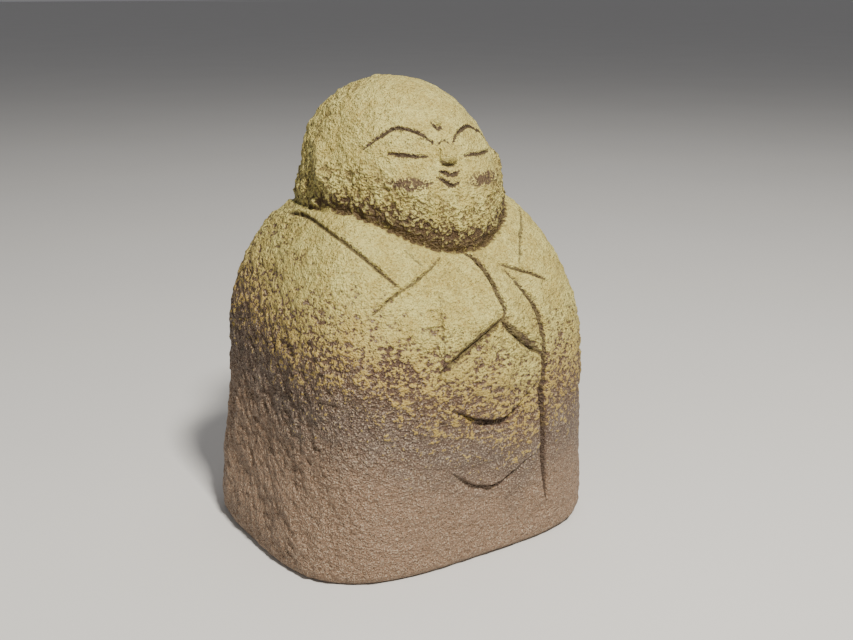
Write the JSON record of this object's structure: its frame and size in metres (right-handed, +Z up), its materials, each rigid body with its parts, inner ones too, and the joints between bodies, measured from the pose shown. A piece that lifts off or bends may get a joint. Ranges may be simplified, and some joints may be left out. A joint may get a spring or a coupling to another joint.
{
  "type": "ceramic jizo statue",
  "caption": "Small rounded jizo statue in unglazed stoneware: bald head, smiling closed-eyed face, robe and folded hands cut in low relief.",
  "frame": {"origin": "on the flat underside, on the figure's upright axis", "axes": "+Z up, the figure faces -Y, +X to the right of a viewer who stands in front of it"},
  "size_m": [0.2068, 0.1883, 0.2647],
  "materials": {
    "stoneware": null
  },
  "bodies": {
    "root": {"jizo_statue": "stoneware"}
  },
  "joints": []
}
